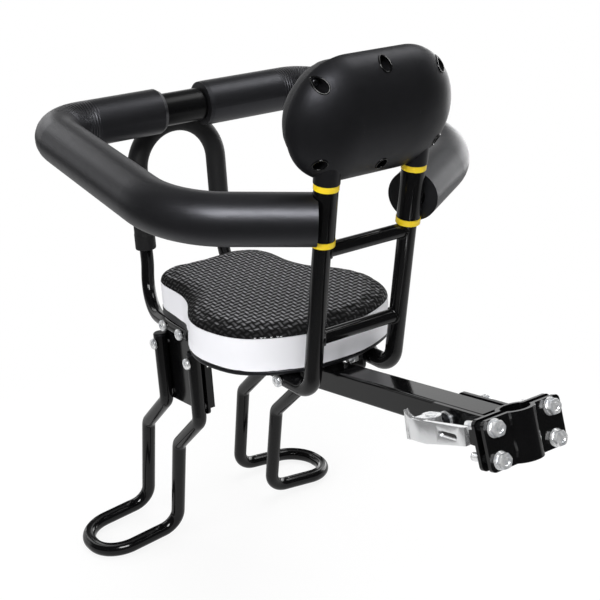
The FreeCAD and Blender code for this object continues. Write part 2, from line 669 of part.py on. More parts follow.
def dome(half_w, half_h, depth, rim_y):
    """A headrest back: an elliptical section run along the width and turned round both ends."""
    straight = half_w - half_h
    major, minor = (half_h, depth) if half_h >= depth else (depth, half_h)
    ellipse = Part.Ellipse(Vec(0, 0, 0), major, minor)
    quarter = ellipse.toShape(0, math.pi / 2)
    face = Part.Face(Part.Wire([Part.makeLine(Vec(0, 0, 0), Vec(major, 0, 0)), quarter,
                                Part.makeLine(Vec(0, minor, 0), Vec(0, 0, 0))]))
    turned = face.revolve(Vec(0, 0, 0), Y_AXIS, 360)
    half = face.fuse(face.mirror(Vec(0, 0, 0), X_AXIS)).removeSplitter()
    half.rotate(Vec(0, 0, 0), Y_AXIS, 90)
    run = half.extrude(Vec(2 * straight, 0, 0))
    run.translate(Vec(-straight, 0, 0))
    solid = run
    for x in (-straight, straight):
        end = turned.copy()
        end.translate(Vec(x, 0, 0))
        solid = solid.fuse(end)
    solid = solid.mirror(Vec(0, 0, 0), Y_AXIS)
    solid.translate(Vec(0, rim_y, 0))
    return solid


def make_headrest():
    """Moulded rear shell on the posts, a board screwed over it, and the front pad."""
    middle = Place(Vec(0, 0, head_mid), Rot())
    outer = dome(head_half_w, head_half_h, head_depth, head_rim)
    inner = dome(head_half_w - head_wall, head_half_h - head_wall, head_depth - head_wall, head_rim)
    shell = outer.cut(inner)
    collar_low = (hinge_pitch + nylon_h) / 2 + slip - head_mid
    for x in (-post_x, post_x):
        collar = Part.makeCylinder(collar_d / 2, -collar_low - head_half_h / 2, Vec(x, 0, collar_low))
        ahead = box(x - collar_d, x + collar_d, head_rim, head_rim + collar_d, -2 * head_half_h, 0)
        shell = shell.fuse(collar.cut(inner).cut(ahead))
    spots = [(x, z) for x in (-head_screw_x, head_screw_x) for z in (-head_screw_down, head_screw_up)]
    spots += [(0, -head_mid_down), (0, head_mid_up)]
    for x, z in spots:
        boss = bar(boss_d / 2, Vec(x, head_rim - head_depth, z), Vec(x, head_rim, z)).common(outer)
        shell = shell.fuse(boss)
    for x, z in spots:
        shell = shell.cut(bar(pocket_d / 2, Vec(x, -3 * head_depth, z), Vec(x, head_rim - boss_floor, z)))
        shell = shell.cut(bar((head_screw_d + slip) / 2, Vec(x, -head_depth, z), Vec(x, head_rim, z)))
    for x in (-post_x, post_x):
        socket = Part.makeCylinder((post_d + slip) / 2, post_top + head_mid, Vec(x, 0, -2 * head_mid))
        washer_room = Part.makeCylinder(nylon_d / 2 + slip, head_mid, Vec(x, 0, collar_low - head_mid))
        shell = shell.cut(socket).cut(washer_room)
    head_frame = post_frame.multiply(middle)
    nodes["headrest_shell"] = placed(shell.removeSplitter(), head_frame)

    board_y = head_rim + slip
    board = stadium(head_half_w - board_inset, head_half_h - board_inset, board_y, board_t)
    for x, z in spots:
        board = board.cut(bar((head_screw_d - slip) / 2, Vec(x, 0, z), Vec(x, board_y + board_t, z)))
    nodes["headrest_board"] = placed(board, head_frame)
    pad = stadium(head_half_w - pad_inset, head_half_h - pad_inset, board_y + board_t + slip, pad_t)
    front = [edge for edge in pad.Edges if abs(edge.CenterOfMass.y - (board_y + board_t + slip + pad_t)) < 0.01]
    nodes["headrest_pad"] = placed(pad.makeFillet(pad_round, front), head_frame)

    screw = bolt(head_screw_d - 2 * slip, boss_floor + board_t, pan_head(head_screw_head, head_screw_head_h))
    nodes["headrest_screws"] = group([placed(aimed(screw, Y_AXIS, Vec(x, head_rim - boss_floor, z)), head_frame)
                                      for x, z in spots])


def make_hand_loop():
    """An upturned U of tube whose feet run back along the brackets, with a soft grip over the arch."""
    right = [Vec(handle_half_w, handle_y, handle_top), Vec(handle_half_w, handle_y, grip_end_z - grip_end_l),
             Vec(handle_knee_x, handle_knee_y, handle_knee_z),
             Vec(handle_foot_x, handle_foot_start, handle_foot_z), Vec(handle_foot_x, handle_foot_end, handle_foot_z)]
    left = [Vec(-p.x, p.y, p.z) for p in right]
    points = left[::-1] + right
    ease = 2 * handle_bend
    arch_bend = handle_half_w - 0.5
    bends = [ease, handle_bend, ease, arch_bend, arch_bend, ease, handle_bend, ease]
    path = rounded_path(points, bends)
    tube = tube_along(path, handle_d, handle_d - 2 * handle_wall)
    for x in (-handle_foot_x, handle_foot_x):
        for y in (handle_bolt_front, handle_bolt_back):
            tube = tube.cut(bar((foot_bolt_d + hole_slack) / 2, Vec(x - handle_d, y, handle_foot_z),
                                Vec(x + handle_d, y, handle_foot_z)))
    nodes["handle_tube"] = tube

    arch = rounded_path([Vec(-handle_half_w, handle_y, grip_end_z), Vec(-handle_half_w, handle_y, handle_top),
                         Vec(handle_half_w, handle_y, handle_top), Vec(handle_half_w, handle_y, grip_end_z)],
                        [arch_bend, arch_bend])
    grip = rod_along(arch, grip_d)
    for x in (-handle_half_w, handle_half_w):
        cuff = Part.makeCylinder(grip_end_d / 2, grip_end_l, Vec(x, handle_y, grip_end_z))
        rims = [cuff.Edges[0], cuff.Edges[2]]
        grip = grip.fuse(cuff.makeFillet(1.4, rims))
    nodes["handle_grip"] = grip.cut(rod_along(arch, handle_d + 2 * slip))


def obround(x0, x1, y, z):
    """An upright slot's cutter through a bracket."""
    reach = (slot_l - slot_w) / 2
    cutter = box(x0, x1, y - slot_w / 2, y + slot_w / 2, z - reach, z + reach)
    for end in (z - reach, z + reach):
        cutter = cutter.fuse(bar(slot_w / 2, Vec(x0, y, end), Vec(x1, y, end)))
    return cutter


def tread_cutter(front, loop, back):
    """A round-ended groove along the top of a tread loop, where the tube is pressed in."""
    radius = tread_groove_d / 2
    up = Vec(0, 0, rod_d / 2 - tread_groove + radius)
    ahead = (loop[0] - front).normalize() * tread_groove_from
    start = front + ahead + up
    end = back + ahead + up
    path = rounded_path([start, loop[0] + up, loop[1] + up, end], [tread_round, tread_round])
    cutter = rod_along(path, tread_groove_d)
    for point in (start, end):
        cutter = cutter.fuse(Part.makeSphere(radius, point))
    return cutter


def make_footrests():
    """A folded bracket on each side of the front cross plate, each with a bent rod bolted on."""
    pan_bottom = cushion_bottom - slip - pan_t
    inner_x = handle_foot_x - handle_d / 2 - bracket_t - slip
    outer_x = inner_x + bracket_t
    rod_x = outer_x + slip + rod_d / 2
    prong_back_y = prong_front_y - prong_pitch
    side = [Vec(inner_x, neck_back, pan_bottom), Vec(inner_x, neck_front, pan_bottom),
            Vec(inner_x, neck_front, bracket_shoulder), Vec(inner_x, bracket_front, bracket_shoulder),
            Vec(inner_x, bracket_front, bracket_bottom - bracket_fall), Vec(inner_x, bracket_back, bracket_bottom),
            Vec(inner_x, bracket_back, bracket_shoulder), Vec(inner_x, neck_back, bracket_shoulder)]
    plate = prism(side, Vec(bracket_t, 0, 0))
    corners = [edge for edge in plate.Edges if abs(edge.tangentAt(0).x) > 0.9
               and (edge.CenterOfMass.z < bracket_bottom + slip
                    or (abs(edge.CenterOfMass.z - bracket_shoulder) < 1
                        and min(abs(edge.CenterOfMass.y - bracket_back), abs(edge.CenterOfMass.y - bracket_front)) < 1))]
    plate = plate.makeFillet(6, corners)
    for y0 in (bracket_back, bracket_front - bracket_t):
        low = bracket_bottom + flange_rise
        plate = plate.fuse(box(outer_x - flange_w, inner_x, y0, y0 + bracket_t, low, flange_top))
    hole_r = (foot_bolt_d + hole_slack) / 2
    fixings = [(prong_front_y, prong_bolt_z), (prong_back_y, prong_bolt_z),
               (handle_bolt_front, handle_foot_z), (handle_bolt_back, handle_foot_z)]
    for y, z in fixings:
        plate = plate.cut(bar(hole_r, Vec(0, y, z), Vec(2 * outer_x, y, z)))
    slope = bracket_fall / (bracket_front - bracket_back)
    for y in (slot_front_y, slot_back_y):
        edge_z = bracket_bottom - (y - bracket_back) * slope
        plate = plate.cut(obround(0, 2 * outer_x, y, edge_z + slot_rise))
    bracket = plate.removeSplitter()
    nodes["right_footrest_bracket"] = bracket
    nodes["left_footrest_bracket"] = mirrored(bracket)

    front = [Vec(rod_x, prong_front_y, prong_top), Vec(rod_x, prong_front_y, prong_bend_z),
             Vec(rod_x, prong_front_y + jog_y, prong_bend_z - jog_z),
             Vec(rod_x, prong_front_y + jog_y + tread_y, tread_z)]
    back = [point - Vec(0, prong_pitch, 0) for point in front]
    loop = [Vec(tread_out, point.y, tread_z - tread_drop) for point in (front[-1], back[-1])]
    path = rounded_path(front + loop + back[::-1],
                        [prong_bend, prong_bend, tread_bend, tread_round, tread_round, tread_bend,
                         prong_bend, prong_bend])
    rod = rod_along(path, rod_d)
    for prong in (front, back):
        hollow = prong[:-1] + [(prong[-2] + prong[-1]) * 0.5]
        rod = rod.cut(rod_along(rounded_path(hollow, [prong_bend, prong_bend]), rod_d - 2 * rod_wall))
    rod = rod.cut(tread_cutter(front[-1], loop, back[-1]))
    for y in (prong_front_y, prong_back_y):
        rod = rod.cut(bar(hole_r, Vec(rod_x - rod_d, y, prong_bolt_z), Vec(rod_x + rod_d, y, prong_bolt_z)))
    nodes["right_footrest"] = rod
    nodes["left_footrest"] = mirrored(rod)

    dome_cap = Part.makeCylinder(rod_d / 2, cap_dome)
    dome_cap = dome_cap.makeFillet(cap_dome * 0.8, [dome_cap.Edges[0]])
    stub = Part.makeCylinder(rod_d / 2 - rod_wall - slip / 2, cap_stub, Vec(0, 0, -cap_stub))
    cap = dome_cap.fuse(stub)
    caps = [aimed(cap, Z_AXIS, Vec(rod_x, y, prong_top)) for y in (prong_front_y, prong_back_y)]
    nodes["footrest_end_caps"] = group(caps + [mirrored(one) for one in caps])

    screws = []
    nuts = []
    for y, z in fixings:
        width = rod_d if z == prong_bolt_z else handle_d
        start = outer_x + slip + width + slip
        length = width + bracket_t + foot_nut_h + bolt_tail
        screw = bolt(foot_bolt_d, length, pan_head(foot_bolt_head, foot_bolt_head_h))
        screws.append(aimed(screw, X_AXIS * -1, Vec(start, y, z)))
        fixing = nut(foot_nut, foot_bolt_d + slip, foot_nut_h)
        nuts.append(aimed(fixing, X_AXIS * -1, Vec(inner_x - slip, y, z)))
    nodes["footrest_screws"] = group(screws + [mirrored(screw) for screw in screws])
    nodes["footrest_nuts"] = group(nuts + [mirrored(fixing) for fixing in nuts])


make_clamp()
make_beam()
make_quick_release()
make_seat()
make_cross_members()
make_backrest_frame()
make_guard()
make_headrest()
make_hand_loop()
make_footrests()

os.makedirs("parts", exist_ok=True)
for name, shape in nodes.items():
    shape.exportStep("parts/" + name + ".step")
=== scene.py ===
# %% [markdown]
# This lesson dresses a child bicycle seat. The frame, the rods and the fasteners come from the CAD model
# and stay where they are. The soft pieces, the small trim and every finish are made here, in the same
# frame: metres, X to the child's right, Y the way the child faces, Z up.

import json
import math

import bpy
from mathutils import Matrix, Vector


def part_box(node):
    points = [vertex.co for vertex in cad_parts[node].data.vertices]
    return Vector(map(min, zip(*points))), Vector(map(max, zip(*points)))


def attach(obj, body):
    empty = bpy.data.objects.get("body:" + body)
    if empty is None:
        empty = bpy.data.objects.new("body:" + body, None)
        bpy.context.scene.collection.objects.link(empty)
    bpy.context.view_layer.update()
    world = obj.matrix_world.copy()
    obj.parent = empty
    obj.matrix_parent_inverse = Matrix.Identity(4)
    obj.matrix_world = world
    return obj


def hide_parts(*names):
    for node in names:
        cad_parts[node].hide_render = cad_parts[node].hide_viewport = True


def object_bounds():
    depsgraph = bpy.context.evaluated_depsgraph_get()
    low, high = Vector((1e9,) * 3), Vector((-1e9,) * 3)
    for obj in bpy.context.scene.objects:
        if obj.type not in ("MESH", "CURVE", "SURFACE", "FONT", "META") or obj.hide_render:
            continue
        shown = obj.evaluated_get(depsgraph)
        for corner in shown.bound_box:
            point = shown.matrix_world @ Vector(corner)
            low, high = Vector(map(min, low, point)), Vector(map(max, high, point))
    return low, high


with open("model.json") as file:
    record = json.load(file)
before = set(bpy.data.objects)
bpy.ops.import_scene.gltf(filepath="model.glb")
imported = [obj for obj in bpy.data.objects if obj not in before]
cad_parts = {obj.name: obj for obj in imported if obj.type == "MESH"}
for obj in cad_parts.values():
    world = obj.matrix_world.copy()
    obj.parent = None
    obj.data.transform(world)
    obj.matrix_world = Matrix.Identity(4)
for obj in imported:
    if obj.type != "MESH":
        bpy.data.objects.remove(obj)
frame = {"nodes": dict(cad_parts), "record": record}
cad_nodes = frame["nodes"]
cad_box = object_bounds()
scene = bpy.context.scene
print("CAD nodes", len(cad_nodes))

# %% [markdown]
# Every finish is a small graph of shader nodes round one Principled shader. A picture wrapped round each
# piece would do as well, but then each CAD face would have to be unwrapped first. The three helpers here
# start a finish, add a node to it, and feed a value into its shader.

# %% Helpers that build a finish


def start_finish(name, colour, roughness, **sockets):
    """A new material with its Principled shader set."""
    material = bpy.data.materials.new(name)
    material.use_nodes = True
    shader = material.node_tree.nodes["Principled BSDF"]
    shader.inputs["Base Color"].default_value = (*colour, 1.0)
    shader.inputs["Roughness"].default_value = roughness
    for socket, value in sockets.items():
        shader.inputs[socket.replace("_", " ")].default_value = value
    return material


def add_node(material, kind, feeds=None, **settings):
    """Adds a shader node; feeds maps its inputs to a socket or a number."""
    new = material.node_tree.nodes.new(kind)
    for key, value in settings.items():
        setattr(new, key, value)
    for key, value in (feeds or {}).items():
        if isinstance(value, bpy.types.NodeSocket):
            material.node_tree.links.new(value, new.inputs[key])
        else:
            new.inputs[key].default_value = value
    return new


def into_shader(material, socket, value):
    shader = material.node_tree.nodes["Principled BSDF"]
    material.node_tree.links.new(value, shader.inputs[socket])


print("finish helpers ready")

# %% [markdown]
# Real surfaces are never even, so noise varies the colour, the gloss and the height of each finish. The
# noise reads Object coordinates. They are the seat's own metres, because every object sits at the origin.

# %% Helpers that draw patterns


def object_place(material):
    return add_node(material, "ShaderNodeTexCoord").outputs["Object"]


def noise(material, scale, detail=2.0, rough=0.5):
    feeds = {"Vector": object_place(material), "Scale": scale, "Detail": detail, "Roughness": rough}
    return add_node(material, "ShaderNodeTexNoise", feeds).outputs["Fac"]


def spread(material, value, low, high, start=0.0, end=1.0, smooth=False):
    """Maps start..end of a value to low..high."""
    feeds = {"Value": value, "From Min": start, "From Max": end, "To Min": low, "To Max": high}
    kind = "SMOOTHSTEP" if smooth else "LINEAR"
    return add_node(material, "ShaderNodeMapRange", feeds, interpolation_type=kind).outputs["Result"]


def tint(material, factor, dark, light):
    """A colour that runs from dark to light with a factor."""
    ramp = add_node(material, "ShaderNodeValToRGB", {"Fac": factor})
    ramp.color_ramp.elements[0].color = (*dark, 1.0)
    ramp.color_ramp.elements[1].color = (*light, 1.0)
    return ramp.outputs["Color"]


def raise_bump(material, height, strength, distance, under=None):
    """Turns a height into a bump, on top of the one under it."""
    feeds = {"Height": height, "Strength": strength, "Distance": distance}
    if under is not None:
        feeds["Normal"] = under
    bump = add_node(material, "ShaderNodeBump", feeds).outputs["Normal"]
    into_shader(material, "Normal", bump)
    return bump


def mottle(material, scale, detail, dark, light):
    """Lets the colour wander between two colours."""
    into_shader(material, "Base Color", tint(material, noise(material, scale, detail), dark, light))


def vary_gloss(material, scale, detail, low, high):
    """Lets the roughness wander between two values."""
    into_shader(material, "Roughness", spread(material, noise(material, scale, detail), low, high))


def grain(material, scale, detail, strength, distance):
    """Raises a fine grain."""
    raise_bump(material, noise(material, scale, detail), strength, distance)


def tell(material):
    print(material.name, "has", len(material.node_tree.nodes), "nodes")


print("pattern helpers ready")

# %% [markdown]
# The tubes and plates are steel with a glossy black powder coat. One roughness all over would look like
# plastic. A powder coat is never quite flat: it has a shallow orange-peel texture, and its gloss varies a
# little from place to place, so three noises give its gloss, its colour and its peel.

# %% Powder coat


def make_powder_coat():
    coat = start_finish("powder_coat_black", (0.003, 0.003, 0.0033), 0.2, Specular_IOR_Level=0.3,
                        Coat_Weight=0.12, Coat_Roughness=0.06)
    vary_gloss(coat, scale=38.0, detail=4.0, low=0.08, high=0.17)
    mottle(coat, scale=24.0, detail=3.0, dark=(0.0022, 0.0022, 0.0024), light=(0.0042, 0.0042, 0.0046))
    grain(coat, scale=420.0, detail=2.0, strength=0.06, distance=0.0004)
    return coat


powder_coat = make_powder_coat()
tell(powder_coat)

# %% [markdown]
# The guard is covered with closed-cell foam. Its skin is matt, with fine pores, and at the front corners
# the foam is squeezed on the inside of the bend into fine creases across the tube. They could be sculpted,
# but they are less than a millimetre deep and the foam stays the CAD's own, so a bump draws them. Their
# place is counted along the tube: across the seat on the straight run, and by the angle round the bend's
# centre after that.

# %% Foam skin

cool_gloss = (0.90, 0.91, 1.0, 1.0)
crease_pitch = 0.0033
crease_from = 0.124
crease_to = 0.162
crease_wobble = 0.0024
crease_depth = 0.0009
bend_x = 0.135
bend_y = 0.516
bend_inner = 0.030
bend_middle = 0.050
fade_out = 0.008
fade_in = 0.012
fade_short = 0.004
fade_inner = 0.010
least_ahead = 0.0002


def math_node(material, operation, first, second=0.0, third=0.0):
    feeds = {0: first, 1: second, 2: third}
    return add_node(material, "ShaderNodeMath", feeds, operation=operation).outputs[0]


def times(material, first, second):
    return math_node(material, "MULTIPLY", first, second)


def split(material, vector):
    """The three parts of a vector, by the names X, Y and Z."""
    return add_node(material, "ShaderNodeSeparateXYZ", {"Vector": vector}).outputs


def rise(material, value, start, end):
    """0 below the start, 1 above the end, smooth between them."""
    return spread(material, value, 0.0, 1.0, start, end, smooth=True)


def drop(material, value, start, end):
    """1 below the start, 0 above the end, smooth between them."""
    return spread(material, value, 1.0, 0.0, start, end, smooth=True)


def crease_patch(foam, place, past, ahead, run):
    """1 on the inner half of the bends and 0 elsewhere, with soft edges."""
    near = rise(foam, run, crease_from - fade_out, crease_from + fade_in)
    far = drop(foam, run, crease_to - fade_in, crease_to + fade_out)
    front = rise(foam, place["Y"], bend_y - fade_short, bend_y + fade_in)
    square = math_node(foam, "MULTIPLY_ADD", past, past, times(foam, ahead, ahead))
    radius = math_node(foam, "SQRT", square)
    inside = drop(foam, radius, bend_middle - fade_short, bend_middle + fade_inner)
    return times(foam, times(foam, times(foam, near, far), front), inside)


def crease_height(foam):
    """Sine waves along the tube, uneven and only in the bends."""
    place = split(foam, object_place(foam))
    across = math_node(foam, "ABSOLUTE", place["X"])
    past = math_node(foam, "MAXIMUM", math_node(foam, "SUBTRACT", across, bend_x), 0.0)
    ahead = math_node(foam, "MAXIMUM", math_node(foam, "SUBTRACT", place["Y"], bend_y), least_ahead)
    turn = times(foam, math_node(foam, "ARCTAN2", past, ahead), bend_inner)
    run = math_node(foam, "ADD", math_node(foam, "MINIMUM", across, bend_x), turn)
    wobble = times(foam, noise(foam, scale=30.0, detail=1.0), crease_wobble)
    phase = times(foam, math_node(foam, "ADD", run, wobble), 2 * math.pi / crease_pitch)
    uneven = spread(foam, noise(foam, scale=22.0, detail=1.0), low=0.55, high=1.0, start=0.3, end=0.6)
    fade = times(foam, crease_patch(foam, place, past, ahead, run), uneven)
    return times(foam, math_node(foam, "SINE", phase), fade)


def make_foam_skin():
    foam = start_finish("foam_skin_black", (0.010, 0.010, 0.0108), 0.38, Specular_IOR_Level=0.55,
                        Specular_Tint=cool_gloss)
    creases = crease_height(foam)
    pores = raise_bump(foam, noise(foam, 900.0, 3.0, rough=0.6), strength=0.2, distance=0.0005)
    raise_bump(foam, creases, strength=1.0, distance=crease_depth, under=pores)
    mottle(foam, scale=14.0, detail=4.0, dark=(0.006, 0.006, 0.0066), light=(0.009, 0.009, 0.0099))
    vary_gloss(foam, scale=120.0, detail=3.0, low=0.33, high=0.44)
    return foam


foam_skin = make_foam_skin()
tell(foam_skin)

# %% [markdown]
# The headrest's back shell, the seat pan and the plugs are moulded plastic with a fine spark-eroded grain.
# The front coupler is the same black, but polished. The washers on the posts are yellow nylon. One recipe
# serves all three, because moulded plastics differ mostly in colour, gloss and grain.

# %% Moulded plastics


def make_grained_plastic():
    plastic = start_finish("grained_plastic_black", (0.006, 0.006, 0.0066), 0.42, Specular_IOR_Level=0.34,
                           Specular_Tint=cool_gloss)
    mottle(plastic, scale=18.0, detail=3.0, dark=(0.005, 0.005, 0.0056), light=(0.0075, 0.0075, 0.0083))
    vary_gloss(plastic, scale=90.0, detail=3.0, low=0.36, high=0.50)
    grain(plastic, scale=1300.0, detail=2.0, strength=0.10, distance=0.0003)
    return plastic


def make_gloss_plastic():
    plastic = start_finish("gloss_plastic_black", (0.003, 0.003, 0.0033), 0.28, Specular_IOR_Level=0.22)
    mottle(plastic, scale=30.0, detail=3.0, dark=(0.0022, 0.0022, 0.0024), light=(0.0042, 0.0042, 0.0046))
    vary_gloss(plastic, scale=60.0, detail=3.0, low=0.24, high=0.34)
    grain(plastic, scale=160.0, detail=2.0, strength=0.05, distance=0.0004)
    return plastic


def make_yellow_nylon():
    nylon = start_finish("nylon_yellow", (0.92, 0.66, 0.01), 0.34)
    mottle(nylon, scale=90.0, detail=3.0, dark=(0.86, 0.58, 0.008), light=(0.96, 0.72, 0.015))
    vary_gloss(nylon, scale=200.0, detail=2.0, low=0.28, high=0.42)
    grain(nylon, scale=500.0, detail=2.0, strength=0.06, distance=0.0003)
    return nylon


grained_plastic = make_grained_plastic()
gloss_plastic = make_gloss_plastic()
yellow_nylon = make_yellow_nylon()
for plastic in (grained_plastic, gloss_plastic, yellow_nylon):
    tell(plastic)

# %% [markdown]
# Bolts, nuts and washers are zinc-plated steel, and the lever is a polished alloy casting. The headrest's
# screws get a dark metal, painted shade for the deep pockets they sit in. A pure metal only mirrors the
# room, and in a room with a dark side it turns black in places. These are set partly metallic, so that some
# of their own pale colour always shows.

# %% Bare metals


def make_zinc_plate():
    zinc = start_finish("zinc_plate", (0.90, 0.91, 0.92), 0.24, Metallic=0.58)
    spangle = spread(zinc, noise(zinc, scale=220.0, detail=3.0), low=0.0, high=1.0, start=0.35, end=0.6)
    into_shader(zinc, "Base Color", tint(zinc, spangle, dark=(0.62, 0.64, 0.67), light=(1.0, 1.0, 1.0)))
    vary_gloss(zinc, scale=300.0, detail=3.0, low=0.16, high=0.28)
    grain(zinc, scale=900.0, detail=2.0, strength=0.08, distance=0.0002)
    return zinc


# Painted shade: the headrest's screws are made dark, standing in for the shade of their deep pockets.
def make_pocket_shade_metal():
    zinc = start_finish("pocket_shade_metal", (0.05, 0.05, 0.055), 0.3, Metallic=0.9)
    mottle(zinc, scale=160.0, detail=4.0, dark=(0.03, 0.03, 0.033), light=(0.08, 0.08, 0.088))
    vary_gloss(zinc, scale=300.0, detail=3.0, low=0.22, high=0.40)
    grain(zinc, scale=900.0, detail=2.0, strength=0.08, distance=0.0002)
    return zinc


def make_cast_alloy():
    alloy = start_finish("cast_alloy", (0.92, 0.93, 0.94), 0.15, Metallic=0.8)
    mottle(alloy, scale=70.0, detail=4.0, dark=(0.88, 0.89, 0.91), light=(0.98, 0.985, 0.99))
    vary_gloss(alloy, scale=180.0, detail=3.0, low=0.09, high=0.20)
    grain(alloy, scale=240.0, detail=2.0, strength=0.12, distance=0.0003)
    return alloy


zinc_plate = make_zinc_plate()
pocket_shade_metal = make_pocket_shade_metal()
cast_alloy = make_cast_alloy()
for metal in (zinc_plate, pocket_shade_metal, cast_alloy):
    tell(metal)

# %% [markdown]
# The cushion has a black woven cover on top. Modelled strand by strand it would take far too many faces, so
# sines draw it. The weave is a plain one: strands lie along X and along Y and go over and under each other,
# so that cells with one kind on top and cells with the other lie like a chessboard. Seen from a corner, as
# in the photograph, that looks like herringbone. A sine across each strand gives its round back, and a sine
# along it lifts and sinks it. On the cover's rounded rim the pattern is rolled down the side: the place
# moves outward with the surface normal as the height falls.
# Its colour is painted light as well: it follows the strands' height, with a painted highlight on their
# crowns and painted shade in the gaps between them, and it darkens down the rounded rim as painted shade.

# %% Weave of the cover

strand_x = 0.00609
strand_y = 0.00825
strand_thin = 4.6
strand_float = 0.35
strand_wander = 0.0012
weave_turn = math.radians(2)
weave_depth = 0.0014
weft_shade = 0.75
# how far the painted shade darkens the cover where it rolls down over its rim
painted_rim_shade = 0.06
fibre_height = 0.12
cover_top_z = 0.0295
rim_roll = 0.7


def vector_node(material, operation, feeds):
    return add_node(material, "ShaderNodeVectorMath", feeds, operation=operation).outputs


def mix_by(cloth, chooser, first, second):
    """First where the chooser is 1, second where it is 0."""
    change = math_node(cloth, "SUBTRACT", first, second)
    return math_node(cloth, "MULTIPLY_ADD", change, chooser, second)


def rolled_place(cloth, coords):
    """The place on the cloth laid flat, with the rim rolled out round the top."""
    fall = math_node(cloth, "SUBTRACT", cover_top_z, split(cloth, coords["Object"])["Z"])
    roll = vector_node(cloth, "SCALE", {0: coords["Normal"], "Scale": times(cloth, fall, rim_roll)})
    rolled = vector_node(cloth, "ADD", {0: coords["Object"], 1: roll["Vector"]})
    feeds = {"Vector": rolled["Vector"], "Rotation": (0, 0, weave_turn)}
    return split(cloth, add_node(cloth, "ShaderNodeMapping", feeds).outputs["Vector"])


def make_weave():
    cloth = start_finish("woven_cover_black", (0.05, 0.05, 0.053), 0.5, Specular_IOR_Level=0.12)
    coords = add_node(cloth, "ShaderNodeTexCoord").outputs
    flat = rolled_place(cloth, coords)
    wander = times(cloth, noise(cloth, scale=70.0, detail=1.0), strand_wander)
    waves = []
    for axis, pitch in (("X", strand_x), ("Y", strand_y)):
        shifted = math_node(cloth, "ADD", flat[axis], wander)
        waves.append(math_node(cloth, "SINE", times(cloth, shifted, math.pi / pitch)))
    warp_on_top = math_node(cloth, "GREATER_THAN", times(cloth, waves[0], waves[1]), 0.0)
    over_x = math_node(cloth, "ABSOLUTE", waves[0])
    over_y = math_node(cloth, "ABSOLUTE", waves[1])
    across = math_node(cloth, "POWER", mix_by(cloth, warp_on_top, over_x, over_y), strand_thin)
    along = math_node(cloth, "POWER", mix_by(cloth, warp_on_top, over_y, over_x), strand_float)
    height = times(cloth, across, along)
    fibres = times(cloth, noise(cloth, scale=1500.0, detail=2.0), fibre_height)
    raise_bump(cloth, math_node(cloth, "ADD", height, fibres), strength=0.6, distance=weave_depth)
    # Painted highlight and shade: the colour follows the strand's height, bright on the crowns and near
    # black in the gaps, with the weft a little darker than the warp.
    painted_highlight_and_shade = times(cloth, height, spread(cloth, warp_on_top, weft_shade, 1.0))
    # Painted shade: the colour darkens as the cover turns down over its rim, away from straight up.
    level = split(cloth, coords["Normal"])["Z"]
    painted_highlight_and_shade = times(cloth, painted_highlight_and_shade, spread(cloth, level, painted_rim_shade, 1.0, start=0.94, end=0.999))
    colour = tint(cloth, painted_highlight_and_shade, dark=(0.002, 0.002, 0.0022), light=(0.36, 0.36, 0.378))
    into_shader(cloth, "Base Color", colour)
    into_shader(cloth, "Roughness", spread(cloth, height, low=0.8, high=0.42))
    return cloth


woven_cover = make_weave()
tell(woven_cover)

# %% [markdown]
# The cushion's side band is smooth white vinyl. Its colour stays below full white, so that the lamps can
# shape it without burning it out. The headrest's pad is plain cloth, whose fine threads two crossed sines
# draw, and the hand loop has a grip of soft foam rubber, dull and a little mottled.

# %% Vinyl, cloth and rubber

thread_pitch = 0.0016


def make_white_vinyl():
    vinyl = start_finish("vinyl_white", (0.86, 0.86, 0.89), 0.38)
    mottle(vinyl, scale=9.0, detail=3.0, dark=(0.82, 0.82, 0.86), light=(0.90, 0.90, 0.93))
    vary_gloss(vinyl, scale=70.0, detail=3.0, low=0.32, high=0.46)
    grain(vinyl, scale=700.0, detail=2.0, strength=0.06, distance=0.0003)
    return vinyl


def make_plain_cloth():
    cloth = start_finish("plain_cloth_black", (0.018, 0.018, 0.019), 0.8, Sheen_Weight=0.1)
    place = split(cloth, object_place(cloth))
    angles = [times(cloth, place[axis], 2 * math.pi / thread_pitch) for axis in "XZ"]
    warp, weft = [math_node(cloth, "SINE", angle) for angle in angles]
    raise_bump(cloth, times(cloth, warp, weft), strength=0.35, distance=0.0003)
    mottle(cloth, scale=40.0, detail=4.0, dark=(0.012, 0.012, 0.013), light=(0.024, 0.024, 0.026))
    return cloth


def make_grip_rubber():
    rubber = start_finish("grip_rubber_black", (0.010, 0.010, 0.011), 0.58, Specular_IOR_Level=0.35)
    mottle(rubber, scale=26.0, detail=4.0, dark=(0.008, 0.008, 0.009), light=(0.013, 0.013, 0.014))
    vary_gloss(rubber, scale=150.0, detail=3.0, low=0.48, high=0.68)
    grain(rubber, scale=1100.0, detail=3.0, strength=0.2, distance=0.0004)
    return rubber


white_vinyl = make_white_vinyl()
plain_cloth = make_plain_cloth()
grip_rubber = make_grip_rubber()
for soft_finish in (white_vinyl, plain_cloth, grip_rubber):
    tell(soft_finish)

# %% [markdown]
# The record says which slot each CAD node takes its finish from, so the finishes are given out by slot and
# no node can be forgotten. Only the headrest's screws differ: in the photograph they are dark.

# %% Give the CAD nodes their finishes

finish_of_slot = {
    "black_paint": powder_coat,
    "zinc_steel": zinc_plate,
    "lever_alloy": cast_alloy,
    "dark_plastic": grained_plastic,
    "coupler_plastic": gloss_plastic,
    "yellow_nylon": yellow_nylon,
    "rail_foam": foam_skin,
    "grip_rubber": grip_rubber,
    "white_vinyl": white_vinyl,
    "woven_cover": woven_cover,
    "pad_cloth": plain_cloth,
}


def wear(piece, material):
    piece.data.materials.clear()
    piece.data.materials.append(material)


for subpart in frame["record"]["subparts"]:
    wear(cad_nodes[subpart["node"]], finish_of_slot[subpart["material_slot"]])
# Painted shade: the headrest's screws take the dark metal in place of the record's zinc.
wear(cad_nodes["headrest_screws"], pocket_shade_metal)
print("finishes", len(finish_of_slot))

